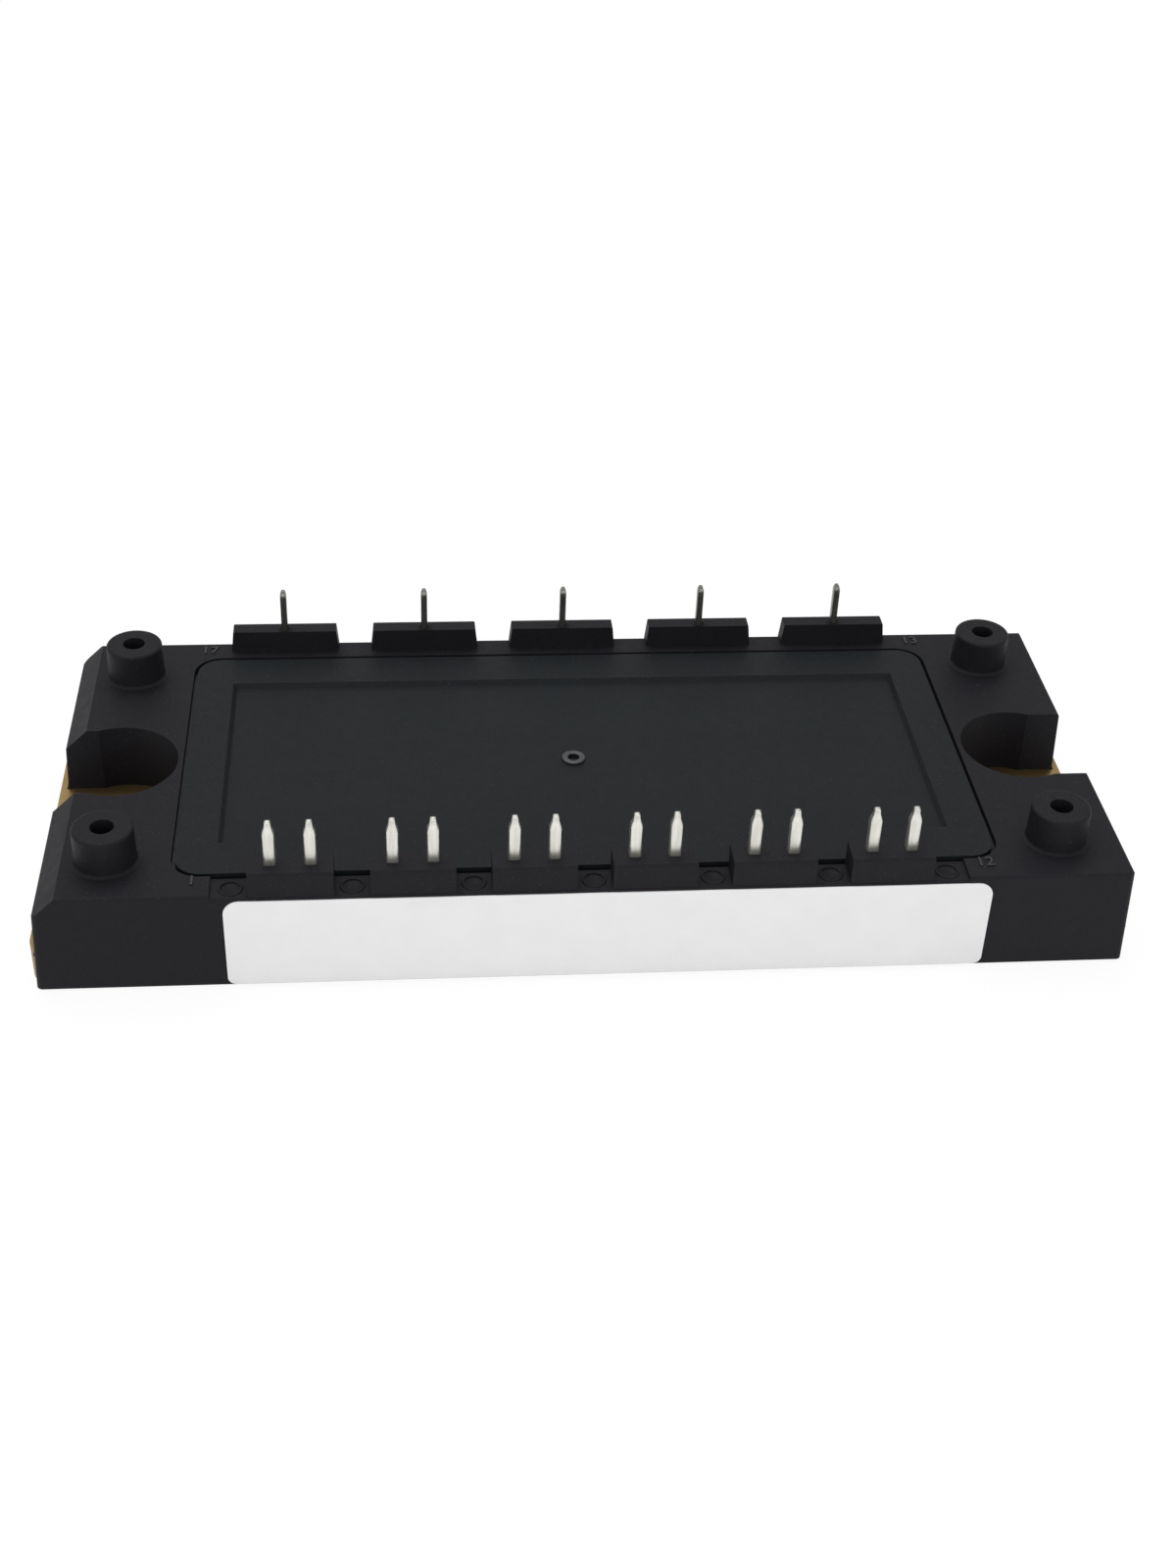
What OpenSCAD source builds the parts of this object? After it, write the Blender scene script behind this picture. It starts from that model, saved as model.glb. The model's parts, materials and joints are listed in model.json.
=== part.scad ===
// Six-switch power module: a copper base plate under a moulded case with a glued lid,
// solder pins along both long edges, and three ceramic substrates with their chips inside.
// The origin is the middle of the base plate's underside. +X runs along the module,
// +Z is up, and the control pins stand along the -Y edge.

/* [Base plate] */
// Length of the copper base plate
base_length = 107.5; // [107:0.1:111]
// Thickness of the copper base plate
base_thickness = 3.8; // [3:0.1:3.9]
// Radius of the base plate's corners
base_corner_r = 2.5; // [1:0.1:4]
// Distance from each end of the base plate to its mounting screw
screw_inset = 7.25; // [6.75:0.05:7.45]
// Diameter of the mounting holes
screw_hole_d = 5.5; // [5:0.1:6]

/* [Case] */
// Width of the case over its long walls
case_width = 45; // [44.4:0.1:47]
// Height of the case's flat top above the mounting surface
case_top_z = 11.05; // [10.8:0.05:13]
// Height of the long walls' lower edge above the mounting surface
skirt_z = 0.3; // [0.2:0.05:0.6]
// Thickness of the skirt that covers each long edge of the base plate
skirt_wall = 0.75; // [0.6:0.05:1.2]
// Clearance between the base plate and the skirts
plate_gap = 0.05; // [0.03:0.01:0.2]
// How far the base plate shows beyond each end of the case
plate_lip = 0.65; // [0.4:0.05:0.9]
// How far each end wall leans inwards from its foot to its top
end_draft = 0.5; // [0.2:0.05:0.7]
// Size of the bevel along the top of the left end
end_bevel = 2.2; // [1:0.1:2.4]
// Radius of the rounded top edges of the long walls
edge_round = 0.3; // [0.1:0.05:0.4]
// Radius of the case's upright corners
corner_round = 0.6; // [0.2:0.05:1]
// Thickness of the adhesive under the case and under the lid
glue_t = 0.1; // [0.05:0.01:0.2]

/* [Screw slots] */
// Width of the open slot at each end
slot_width = 11; // [10:0.1:11.6]
// Radius of the round pocket at the slot's inner end
pocket_r = 6.05; // [5.9:0.05:6.3]
// How far the round pocket's centre lies outboard of the screw
pocket_shift = 0.15; // [0:0.05:0.4]
// Thinnest wall between the pocket and the lid's groove
slot_wall = 0.5; // [0.4:0.05:0.8]

/* [Lid] */
// Width of the band between the lid's long sides and the case's long walls
edge_band = 3.5; // [3.3:0.05:3.8]
// Thickness of the lid at its rim
lid_thickness = 2; // [1.8:0.05:2.4]
// Radius of the lid's corners
lid_corner_r = 2.5; // [1.5:0.1:4]
// Width of the groove all round the lid
lid_gap = 0.38; // [0.2:0.01:0.5]
// Width of the raised rim at the lid's ends
rim_end = 3.9; // [3:0.1:6]
// Width of the raised rim along the lid's long sides
rim_side = 4.8; // [3:0.1:7]
// Depth of the lid's sunk centre
recess_depth = 0.5; // [0.3:0.05:1]
// Width of the sloping wall round the sunk centre
recess_slope = 0.4; // [0.2:0.05:1.2]
// Outer diameter of the ring mark in the middle of the lid
mark_d = 2.4; // [2:0.05:3]
// Diameter of the hole in the ring mark
mark_hole_d = 1.2; // [0.8:0.05:1.4]
// Height of the ring mark and depth of its hole
mark_relief = 0.2; // [0.1:0.05:0.25]
// How far the ring mark lies to the left of the lid's middle
mark_left = 0.35; // [0:0.05:1]
// How far the ring mark lies in front of the lid's middle
mark_front = 0.4; // [0:0.05:1]
// Width of the seat that the lid rests on
seat_width = 2.3; // [1.8:0.1:2.6]
// Drop of the adhesive bead in the groove below the pin shelf
bead_drop = 0.35; // [0.1:0.05:0.6]
// Corner radius of the room under the lid
room_corner_r = 1.2; // [0.5:0.1:2]
// Corner radius of the well that holds the substrates
well_corner_r = 0.8; // [0.5:0.1:1.5]

/* [Pins] */
// Pitch of the terminal grid
grid = 3.81; // [3.75:0.01:3.85]
// Height of the pin tips above the mounting surface
pin_top_z = 18.25; // [17.5:0.05:21]
// Width of a pin
pin_width = 1.15; // [0.8:0.05:1.3]
// Thickness of a pin
pin_t = 1; // [0.6:0.05:1.1]
// Length of the tapered tip
tip_length = 1.6; // [0.8:0.1:2]
// Width left at the very end of the tip
tip_width = 0.6; // [0.5:0.05:0.8]
// Radius of the rounded edges at the very end of the tip
tip_round = 0.24; // [0.1:0.02:0.24]
// Distance from the front wall to the control pins' centres
control_inset = 1.95; // [1.5:0.05:2.1]
// Distance from the back wall to the power pins' centres
power_inset = 1; // [0.8:0.05:1.1]
// Height of the inner ledge that carries the pins' bonding feet
ledge_z = 5.6; // [5.4:0.1:6]
// Width of the inner ledge
ledge_width = 2.6; // [2:0.1:3]
// Thickness of a bonding foot
foot_t = 0.8; // [0.6:0.05:1]
// Distance that a bonding foot stays back from the ledge's edge
foot_setback = 0.4; // [0.2:0.05:0.8]

/* [Pin blocks and tabs] */
// Drop of the pin shelf below the case top
shelf_drop = 0.35; // [0.25:0.05:0.8]
// Width of each block round a pair of control pins
block_width = 8; // [7:0.1:9]
// Height of the blocks above the case top
block_height = 2.33; // [1.5:0.05:3]
// Distance that the blocks' faces stand back from the front wall
block_setback = 0.15; // [0:0.05:0.3]
// Diameter of the round dishes between the blocks
dish_d = 2.3; // [1.8:0.05:2.5]
// Depth of the round dishes between the blocks
dish_depth = 0.3; // [0.1:0.05:0.5]
// Width of a tab's top edge
tab_width = 11.2; // [10:0.1:12]
// Thickness of a tab
tab_t = 1.75; // [1.6:0.05:2]
// Height of the tabs above the case top
tab_height = 2.4; // [1.5:0.05:3]
// How far each side of a tab leans outwards to its foot
tab_draft = 0.25; // [0.1:0.05:0.6]

/* [Board standoffs] */
// How far the standoffs lie inboard of the mounting screws
standoff_inboard = 0.3; // [0:0.05:0.4]
// Distance between the standoffs across the module
standoff_spacing_y = 32.8; // [32:0.1:34]
// Height of the standoffs above the case top
standoff_height = 3.85; // [2:0.05:6]
// Diameter of a standoff at its top
standoff_top_d = 5.85; // [5:0.05:5.9]
// Diameter of a standoff just above its foot
standoff_foot_d = 5.95; // [5.9:0.05:6.2]
// Radius of the fillet round a standoff's foot
standoff_fillet = 0.35; // [0.2:0.05:1]
// Radius of the rounded edge at a standoff's top
standoff_round = 0.3; // [0.1:0.05:0.5]
// Diameter of the screw hole in a standoff
standoff_hole_d = 2.3; // [2.1:0.05:2.8]
// Depth of the screw hole in a standoff
standoff_hole_depth = 9.5; // [6:0.1:11]

/* [Label] */
// Length of the blank label on the front wall
label_length = 73.65; // [60:0.05:80]
// How far the label's middle lies to the right of the module's middle
label_shift = 1.825; // [-3:0.025:3]
// Thickness of the label
label_t = 0.1; // [0.08:0.01:0.2]
// Distance from the label to the skirt's lower edge
label_margin_low = 0.1; // [0.05:0.05:1]
// Distance from the label to the shelf's edge
label_margin_high = 0.3; // [0.25:0.05:1]
// Radius of the label's upper corners
label_upper_r = 1.5; // [0.5:0.1:3]
// Radius of the label's lower corners
label_lower_r = 0.8; // [0.5:0.1:3]

/* [Substrates and chips] */
// Clearance from the substrates to the well's walls
substrate_margin = 1.2; // [0.8:0.1:1.6]
// Gap between neighbouring substrates
substrate_gap = 1.6; // [1:0.1:2.4]
// Thickness of the solder under each substrate
solder_t = 0.15; // [0.1:0.01:0.2]
// Thickness of the copper on each side of the ceramic
copper_t = 0.3; // [0.2:0.01:0.4]
// Thickness of the ceramic
ceramic_t = 0.38; // [0.32:0.01:0.64]
// Bare ceramic left round the copper
copper_margin = 0.7; // [0.4:0.05:1]
// Width of the gaps etched between copper areas
etch_gap = 0.8; // [0.5:0.05:1]
// Side of a switch chip
switch_size = 7.6; // [6.8:0.1:7.8]
// Side of a diode chip
diode_size = 5.2; // [4.6:0.1:5.4]
// Thickness of the chips
chip_t = 0.25; // [0.1:0.01:0.3]
// Length of the small copper pads for the control wires
pad_length = 3.6; // [3.2:0.1:3.8]
// Width of the plus and minus strips
strip_width = 1.6; // [1.4:0.1:1.7]
// Distance from the switch chips to the edge of their copper
switch_margin = 0.9; // [0.5:0.05:1.1]
// Gap between a switch chip and its diode chip
chip_gap = 1.1; // [0.8:0.05:1.3]
// Height of the gel's surface above the mounting surface
gel_top_z = 8.3; // [8.1:0.1:8.4]
// Clearance between the gel and the edges of the substrates
gel_gap = 0.05; // [0.02:0.01:0.1]

/* [Bond wires] */
// Diameter of the bond wires
wire_d = 0.35; // [0.25:0.01:0.4]
// Pitch of the power wires that lie side by side on a chip
wire_pitch = 1.5; // [1:0.1:1.6]
// Rise of the wires that join a switch chip to its diode chip
chip_rise = 1.3; // [0.8:0.1:1.6]
// Rise of the wires that leave a diode chip
diode_rise = 1.1; // [0.8:0.1:1.6]
// Rise of the thin wires of the control pads
control_rise = 0.9; // [0.6:0.1:1.4]
// Rise of the wires to the power pins and between the phases
power_rise = 1.2; // [0.8:0.1:1.8]
// Distance from a diode chip's middle to the feet of its wires
diode_landing = 0.6; // [0.4:0.1:1]
// Distance from an edge of a copper area or ledge to the feet that land beside it
edge_landing = 0.9; // [0.7:0.05:1.2]
// Distance from a switch chip's edges to the feet of its control wires
gate_landing = 0.8; // [0.6:0.05:1]

/* [Hidden] */
$fn = 48;
cut = 1;                       // how far cutting tools run past the faces they open
phases = [-1, 0, 1];

// Case outline and levels
half_width = case_width / 2;
foot_x = base_length / 2 - plate_lip;
top_x = foot_x - end_draft;
lean = atan(end_draft / (case_top_z - skirt_z));
plate_half_y = half_width - skirt_wall - plate_gap;
seal_z = base_thickness + glue_t;
shelf_z = case_top_z - shelf_drop;
seat_z = case_top_z - lid_thickness - glue_t;
screw_x = base_length / 2 - screw_inset;
pocket_x = screw_x + pocket_shift;

// Lid, its rebate and the space under it
rebate_x = pocket_x - pocket_r - slot_wall;
lid_x = rebate_x - lid_gap;
lid_y = half_width - edge_band;
rebate_y = lid_y + lid_gap;
lid_under_z = seat_z + glue_t;
room_x = rebate_x - seat_width;
room_y = rebate_y - seat_width;
well_x = room_x - ledge_width / 2;
well_y = room_y - ledge_width;
bead_top_z = shelf_z - bead_drop;

// Pins, blocks and tabs
control_y = -half_width + control_inset;
power_y = half_width - power_inset;
block_pitch = 3 * grid;
tab_pitch = 4 * grid;
block_count = 6;
tab_count = 5;
shelf_x = 9.5 * grid;
foot_reach_y = well_y + foot_setback;
dish_y = -(rebate_y + half_width) / 2;
dish_r = (dish_d * dish_d / 4 + dish_depth * dish_depth) / (2 * dish_depth);

// Label on the front wall
label_low_z = skirt_z + label_margin_low;
label_high_z = shelf_z - label_margin_high;

// Substrates: levels and places
substrate_x = (well_x - substrate_margin) * 2 / 3 - substrate_gap * 2 / 3;
substrate_y = 2 * (well_y - substrate_margin);
substrate_pitch = substrate_x + substrate_gap;
back_copper_z = base_thickness + solder_t;
ceramic_z = back_copper_z + copper_t;
pattern_z = ceramic_z + ceramic_t;
chip_z = pattern_z + copper_t;
chip_top_z = chip_z + chip_t;

// Copper areas of one phase, in the substrate's own X and Y
area_x = substrate_x / 2 - copper_margin;
area_y = substrate_y / 2 - copper_margin;
gate_line_y = -area_y + pad_length + etch_gap;
minus_y = area_y - strip_width;
plus_y = minus_y - etch_gap - strip_width;
output_end_y = plus_y - etch_gap;
column_x = (area_x + etch_gap / 2) / 2;
switch_y = gate_line_y + switch_margin + switch_size / 2;
diode_y = switch_y + switch_size / 2 + chip_gap + diode_size / 2;
pad_pitch = (2 * area_x + etch_gap) / 4;
pad_low_y = -area_y + pad_length / 4;
pad_high_y = -area_y + pad_length * 3 / 4;
plus_wire_y = plus_y + strip_width / 2;
minus_wire_y = minus_y + strip_width / 2;
ledge_wire_y = foot_reach_y + edge_landing;
twin_offset = pin_width / 2 - 0.7 * wire_d;

// ---------- shared shapes ----------

// Flat rectangle with round corners, centred on the origin
module rounded_rect(length, width, r) {
    square([length - 2 * r, width], center = true);
    square([length, width - 2 * r], center = true);
    for (x = [-1, 1], y = [-1, 1])
        translate([x * (length / 2 - r), y * (width / 2 - r)]) circle(r);
}

// Upright prism of a round-cornered rectangle between two heights
module slab(length, width, r, z_low, z_high) {
    translate([0, 0, z_low]) linear_extrude(z_high - z_low) rounded_rect(length, width, r);
}

// Box given by its lowest and highest corners
module box(low, high) {
    translate(low) cube(high - low);
}

// Profile drawn in X and Z, carried along Y from y_low to y_high
module along_y(y_low, y_high) {
    translate([0, y_high, 0]) rotate([90, 0, 0]) linear_extrude(y_high - y_low) children();
}

// Profile drawn in Y and Z, carried along X from x_low to x_high
module along_x(x_low, x_high) {
    translate([x_low, 0, 0]) rotate([90, 0, 90]) linear_extrude(x_high - x_low) children();
}

// Points of an arc
function arc_points(centre, r, from, to, steps) =
    [for (i = [0 : steps]) let (a = from + (to - from) * i / steps)
        [centre[0] + r * cos(a), centre[1] + r * sin(a)]];

// ---------- base plate ----------

module base_plate() {
    color("#b87d4b") difference() {
        slab(base_length, 2 * plate_half_y, base_corner_r, 0, base_thickness);
        for (side = [-1, 1])
            translate([side * screw_x, 0, -cut]) cylinder(d = screw_hole_d, h = base_thickness + 2 * cut);
    }
}

// Outline of an end slot: a straight opening that widens into a round pocket
module slot_outline(side) {
    translate([side * pocket_x, 0]) circle(pocket_r);
    translate([side * (pocket_x + base_length) / 2, 0])
        square([base_length - pocket_x, slot_width], center = true);
}

// Bead between the base plate and the case
module base_adhesive() {
    color("#3a3a3c") translate([0, 0, base_thickness]) linear_extrude(glue_t) difference() {
        square([2 * foot_x, 2 * plate_half_y], center = true);
        square([2 * well_x, 2 * well_y], center = true);
        for (side = [-1, 1]) slot_outline(side);
    }
}

// ---------- case ----------

// Long profile of the case: leaning end walls, with a bevel at the left end only
module case_profile() {
    bevel_z = case_top_z - end_bevel;
    polygon(concat([
        [-foot_x, skirt_z],
        [foot_x, skirt_z]],
        arc_points([top_x - edge_round, case_top_z - edge_round], edge_round, lean, 90, 4), [
        [-top_x + end_bevel, case_top_z],
        [-foot_x + tan(lean) * (bevel_z - skirt_z), bevel_z]]));
}

// Cross profile of the case: upright long walls with rounded top edges
module case_cross() {
    polygon(concat([
        [-half_width, skirt_z],
        [half_width, skirt_z]],
        arc_points([half_width - edge_round, case_top_z - edge_round], edge_round, 0, 90, 4),
        arc_points([-half_width + edge_round, case_top_z - edge_round], edge_round, 90, 180, 4)));
}

// Long prism whose near end leans with the end wall and has rounded upright corners
module corner_prism(side) {
    translate([side * foot_x, 0, skirt_z]) rotate([0, -side * lean, 0])
        translate([-side * base_length, 0, -case_top_z]) linear_extrude(3 * case_top_z)
            rounded_rect(2 * base_length, case_width, corner_round);
}

// Solid outside of the case before its openings are cut
module case_body() {
    intersection() {
        along_y(-case_width, case_width) case_profile();
        along_x(-base_length, base_length) case_cross();
        corner_prism(1);
        corner_prism(-1);
    }
}

// Space above the pin shelf, which leaves the shelf's front edge rounded
module shelf_space() {
    along_x(-shelf_x, shelf_x) polygon(concat(
        [[-half_width - cut, shelf_z - edge_round]],
        arc_points([-half_width + edge_round, shelf_z - edge_round], edge_round, 180, 90, 4), [
        [-rebate_y, shelf_z],
        [-rebate_y, case_top_z + cut],
        [-half_width - cut, case_top_z + cut]]));
}

// Board standoff: a slightly tapered post with a round top edge and a foot fillet
module standoff() {
    top_r = standoff_top_d / 2;
    foot_r = standoff_foot_d / 2;
    sunk = 0.5;
    rotate_extrude() polygon(concat(
        [[0, -sunk], [foot_r + standoff_fillet, -sunk]],
        arc_points([foot_r + standoff_fillet, standoff_fillet], standoff_fillet, 270, 180, 5),
        arc_points([top_r - standoff_round, standoff_height - standoff_round], standoff_round, 0, 90, 4),
        [[0, standoff_height]]));
}

// Block that stands round a pair of control pins, with its upper front edge rounded
module pin_block() {
    r = 0.3;
    sunk = 0.6;
    y_front = -half_width + block_setback;
    top_z = case_top_z + block_height;
    along_x(-block_width / 2, block_width / 2) polygon(concat(
        [[-rebate_y, shelf_z - sunk], [-rebate_y, top_z]],
        arc_points([y_front + r, top_z - r], r, 90, 180, 4),
        [[y_front, shelf_z - sunk]]));
}

// Tab that stands behind each power pin, wider at its foot
module tab() {
    r = 0.12;
    sunk = 0.6;
    top_z = case_top_z + tab_height;
    half_top = tab_width / 2;
    half_foot = half_top + tab_draft;
    along_y(half_width - tab_t, half_width) polygon(concat(
        [[-half_foot, case_top_z - sunk], [half_foot, case_top_z - sunk], [half_foot, case_top_z]],
        arc_points([half_top - r, top_z - r], r, 0, 90, 4),
        arc_points([-half_top + r, top_z - r], r, 90, 180, 4),
        [[-half_foot, case_top_z]]));
}

module at_standoffs() {
    for (x = [-1, 1], y = [-1, 1])
        translate([x * (screw_x - standoff_inboard), y * standoff_spacing_y / 2, case_top_z]) children();
}

module case_frame() {
    color("#2c2d31") difference() {
        union() {
            difference() {
                case_body();
                shelf_space();
            }
            at_standoffs() standoff();
            for (i = [0 : block_count - 1])
                translate([(i - (block_count - 1) / 2) * block_pitch, 0, 0]) pin_block();
            for (i = [0 : tab_count - 1])
                translate([(i - (tab_count - 1) / 2) * tab_pitch, 0, 0]) tab();
        }
        // underside: seat for the base plate between the skirts
        box([-base_length, -plate_half_y - plate_gap, -cut],
            [base_length, plate_half_y + plate_gap, seal_z]);
        // well for the substrates, room above the ledge, and rebate for the lid
        slab(2 * well_x, 2 * well_y, well_corner_r, seal_z - cut, ledge_z + cut);
        slab(2 * room_x, 2 * room_y, room_corner_r, ledge_z, seat_z + cut);
        slab(2 * rebate_x, 2 * rebate_y, lid_corner_r + lid_gap, seat_z, case_top_z + cut);
        // end slots
        for (side = [-1, 1])
            translate([0, 0, seal_z - cut]) linear_extrude(case_top_z) slot_outline(side);
        // round dishes between and beside the blocks
        for (i = [0 : block_count])
            translate([(i - block_count / 2) * block_pitch, dish_y, shelf_z - dish_depth + dish_r])
                sphere(dish_r);
        at_standoffs() translate([0, 0, standoff_height - standoff_hole_depth])
            cylinder(d = standoff_hole_d, h = standoff_hole_depth + cut);
        // the pins are moulded in
        for (i = [1 : 12]) control_pin_shape(i);
        for (i = [1 : 5]) power_pin_shape(i);
    }
}

// ---------- pins ----------

// Outline of a pin's upright leg seen square on, with a tapered tip of rounded corners
module leg_outline(width) {
    half = width / 2;
    half_tip = tip_width / 2;
    r = tip_round;
    polygon(concat(
        [[-half, ledge_z - foot_t], [half, ledge_z - foot_t], [half, pin_top_z - tip_length]],
        arc_points([half_tip - r, pin_top_z - r], r, 10, 90, 4),
        arc_points([-half_tip + r, pin_top_z - r], r, 90, 170, 4),
        [[-half, pin_top_z - tip_length]]));
}

// Pin at the origin's X: an upright leg and a flat foot that reaches inwards (toward = 1 or -1)
module pin_shape(y, toward) {
    union() {
        intersection() {
            along_y(y - pin_t, y + pin_t) leg_outline(pin_width);
            along_x(-pin_width, pin_width) translate([y, 0]) leg_outline(pin_t);
        }
        foot_end = -toward * foot_reach_y;
        box([-pin_width / 2, min(y, foot_end), ledge_z - foot_t],
            [pin_width / 2, max(y, foot_end), ledge_z]);
    }
}

// X of control pin i (1 to 12): pairs one grid apart in the middle of each block
function control_x(i) =
    let (pair = floor((i - 1) / 2), second = (i - 1) % 2)
        (pair - (block_count - 1) / 2) * block_pitch + (second - 0.5) * grid;

// X of power pin i (1 to 5)
function power_x(i) = (i - (tab_count + 1) / 2) * tab_pitch;

module control_pin_shape(i) {
    translate([control_x(i), 0, 0]) pin_shape(control_y, 1);
}

module power_pin_shape(i) {
    translate([power_x(i), 0, 0]) pin_shape(power_y, -1);
}

module control_pin(i) {
    color("#c8c6be") control_pin_shape(i);
}

module power_pin(i) {
    color("#8f8f86") power_pin_shape(i);
}

// ---------- lid ----------

// Sunk centre of the lid: a pocket with four sloping walls
module lid_recess() {
    half_x = lid_x - rim_end;
    half_y = lid_y - rim_side;
    floor_z = case_top_z - recess_depth;
    over = cut * recess_slope / recess_depth;
    intersection() {
        along_y(-half_y - over, half_y + over) polygon([
            [-half_x + recess_slope, floor_z], [half_x - recess_slope, floor_z],
            [half_x + over, case_top_z + cut], [-half_x - over, case_top_z + cut]]);
        along_x(-half_x - over, half_x + over) polygon([
            [-half_y + recess_slope, floor_z], [half_y - recess_slope, floor_z],
            [half_y + over, case_top_z + cut], [-half_y - over, case_top_z + cut]]);
    }
}

// Ring mark: a low button with a rounded edge
module mark_button() {
    sunk = 0.2;
    rotate_extrude() polygon(concat(
        [[0, -sunk], [mark_d / 2, -sunk]],
        arc_points([mark_d / 2 - mark_relief, 0], mark_relief, 0, 90, 4),
        [[0, mark_relief]]));
}

// Hole of the ring mark, with a widened mouth
module mark_hole() {
    translate([0, 0, -mark_relief]) cylinder(d = mark_hole_d, h = 2 * mark_relief);
    cylinder(d1 = mark_hole_d, d2 = mark_hole_d + 4 * mark_relief, h = 2 * mark_relief);
}

module lid() {
    mark = [-mark_left, -mark_front, case_top_z - recess_depth];
    color("#2d2f33") difference() {
        union() {
            difference() {
                slab(2 * lid_x, 2 * lid_y, lid_corner_r, lid_under_z, case_top_z);
                lid_recess();
            }
            translate(mark) mark_button();
        }
        translate(mark) mark_hole();
    }
}

// Adhesive under the lid's edge, with a bead that rises into the groove
module lid_adhesive() {
    color("#18181a") difference() {
        slab(2 * rebate_x, 2 * rebate_y, lid_corner_r + lid_gap, seat_z, bead_top_z);
        slab(2 * room_x, 2 * room_y, room_corner_r, seat_z - cut, lid_under_z + cut);
        slab(2 * lid_x, 2 * lid_y, lid_corner_r, lid_under_z, case_top_z);
    }
}

// ---------- label ----------

// Upright label outline with its own radius at each pair of corners
module label_outline() {
    half = label_length / 2;
    polygon(concat(
        arc_points([-half + label_lower_r, label_low_z + label_lower_r], label_lower_r, 180, 270, 8),
        arc_points([half - label_lower_r, label_low_z + label_lower_r], label_lower_r, 270, 360, 8),
        arc_points([half - label_upper_r, label_high_z - label_upper_r], label_upper_r, 0, 90, 8),
        arc_points([-half + label_upper_r, label_high_z - label_upper_r], label_upper_r, 90, 180, 8)));
}

module front_label() {
    color("#e6e6e6") translate([label_shift, 0, 0])
        along_y(-half_width - label_t, -half_width) label_outline();
}

// ---------- substrates ----------

module solder_layer() {
    color("#9a9c9e") translate([0, 0, base_thickness])
        linear_extrude(solder_t) square([2 * area_x, 2 * area_y], center = true);
}

module back_copper() {
    color("#b87d4b") translate([0, 0, back_copper_z])
        linear_extrude(copper_t) square([2 * area_x, 2 * area_y], center = true);
}

module ceramic() {
    color("#efece4") translate([0, 0, ceramic_z])
        linear_extrude(ceramic_t) square([substrate_x, substrate_y], center = true);
}

// Etched copper of one phase: plus area and strip, output area, minus strip, four control pads
module copper_pattern() {
    color("#c08a57") translate([0, 0, pattern_z]) linear_extrude(copper_t) {
        translate([-area_x, gate_line_y]) square([area_x - etch_gap / 2, plus_y + strip_width - gate_line_y]);
        translate([-area_x, plus_y]) square([2 * area_x, strip_width]);
        translate([etch_gap / 2, gate_line_y]) square([area_x - etch_gap / 2, output_end_y - gate_line_y]);
        translate([-area_x, minus_y]) square([2 * area_x, strip_width]);
        for (i = [0 : 3])
            translate([-area_x + i * pad_pitch, -area_y]) square([pad_pitch - etch_gap, pad_length]);
    }
}

// Chip of a given side, on the high column (side = -1) or the low column (side = 1)
module chip(size, side, y) {
    translate([side * column_x - size / 2, y - size / 2, chip_z]) cube([size, size, chip_t]);
}

module switch_chip(side) {
    color("#6f7076") chip(switch_size, side, switch_y);
}

module diode_chip(side) {
    color("#7b7c80") chip(diode_size, side, diode_y);
}

// ---------- bond wires ----------

// Flattened foot of a wire, on a surface at point p, turned to lie along the wire
module wire_foot(p, turn) {
    translate(p) rotate([0, 0, turn])
        translate([-wire_d, -wire_d * 0.7, 0]) cube([2 * wire_d, 1.4 * wire_d, wire_d]);
}

// Wire between two points, as a round arc that rises above the line between its feet
module wire(a, b, rise) {
    flat = norm([b[0] - a[0], b[1] - a[1]]);
    span = norm(b - a);
    turn = atan2(b[1] - a[1], b[0] - a[0]);
    tilt = atan2(b[2] - a[2], flat);
    r = (span * span / 4 + rise * rise) / (2 * rise);
    half_angle = asin(span / (2 * r));
    translate([a[0], a[1], a[2] + wire_d / 2]) rotate([0, 0, turn]) rotate([0, -tilt, 0])
        translate([span / 2, 0, rise - r]) rotate([90, 0, 0]) rotate([0, 0, 90 - half_angle])
            rotate_extrude(angle = 2 * half_angle, $fn = 96) translate([r, 0]) circle(d = wire_d, $fn = 16);
    wire_foot(a, turn);
    wire_foot(b, turn);
}

// All wires of one phase, in the substrate's own frame (phase = -1, 0 or 1)
module phase_wires(phase) {
    centre_x = phase * substrate_pitch;
    output_low = [etch_gap / 2 + edge_landing, output_end_y - edge_landing, chip_z];
    output_high = [power_x(2 * phase + 3) - centre_x, ledge_wire_y, ledge_z];
    for (k = [-1, 0, 1]) {
        // switch to diode on each column
        for (side = [-1, 1])
            wire([side * column_x + k * wire_pitch, switch_y, chip_top_z],
                 [side * column_x + k * wire_pitch, diode_y - diode_landing, chip_top_z], chip_rise);
        // high diode across to the output area
        wire([-column_x + wire_pitch, diode_y + k * wire_pitch, chip_top_z],
             [output_low[0], diode_y + k * wire_pitch, chip_z], diode_rise);
        // low diode to the minus strip
        wire([column_x + k * wire_pitch, diode_y + diode_landing, chip_top_z],
             [column_x + k * wire_pitch, minus_wire_y, chip_z], diode_rise);
    }
    // control pads to the chips, and on to the pins' feet
    for (i = [0 : 3]) {
        pad_x = -area_x + i * pad_pitch + (pad_pitch - etch_gap) / 2;
        side = i < 2 ? -1 : 1;
        chip_x = side * column_x + (i % 2 == 0 ? -1 : 1) * (switch_size / 2 - gate_landing);
        gate_y = switch_y - switch_size / 2 + gate_landing;
        pin_x = control_x(4 * (phase + 1) + i + 1) - centre_x;
        wire([pad_x, pad_high_y, chip_z], [chip_x, gate_y, chip_top_z], control_rise);
        wire([pin_x, -ledge_wire_y, ledge_z], [pad_x, pad_low_y, chip_z], control_rise);
    }
    twin_wires(output_low, output_high, power_rise);
}

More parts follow.
